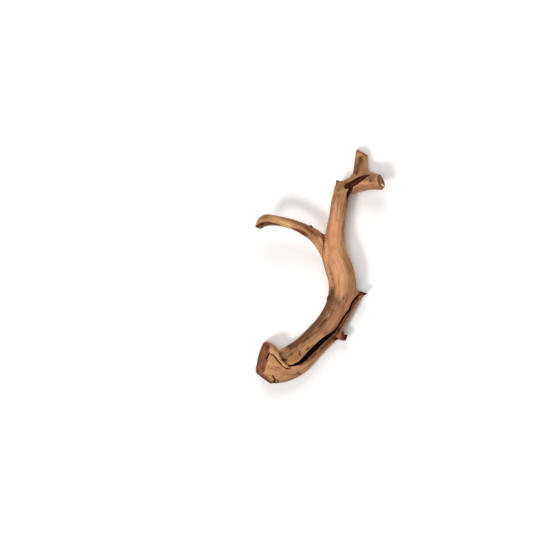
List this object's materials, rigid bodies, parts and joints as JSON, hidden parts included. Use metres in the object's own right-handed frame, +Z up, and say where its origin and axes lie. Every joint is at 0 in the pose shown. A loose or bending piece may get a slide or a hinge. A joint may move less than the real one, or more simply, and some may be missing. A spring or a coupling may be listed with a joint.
{
  "type": "manzanita driftwood",
  "caption": "Crooked, sand-smoothed branch of driftwood that lies on a surface, with a sawn heel, a long cleft, a side branch and a forked top.",
  "frame": {"origin": "middle of the footprint, on the surface that the wood lies on", "axes": "+Z up, +Y along the limb from the sawn heel to the forked top, +X to the side that the arm points to"},
  "size_m": [0.1683, 0.3052, 0.0612],
  "materials": {
    "wood": "bare, sand-smoothed hardwood, matt, reddish tan with dark brown hollows"
  },
  "bodies": {
    "root": {"driftwood": "wood"}
  },
  "joints": []
}
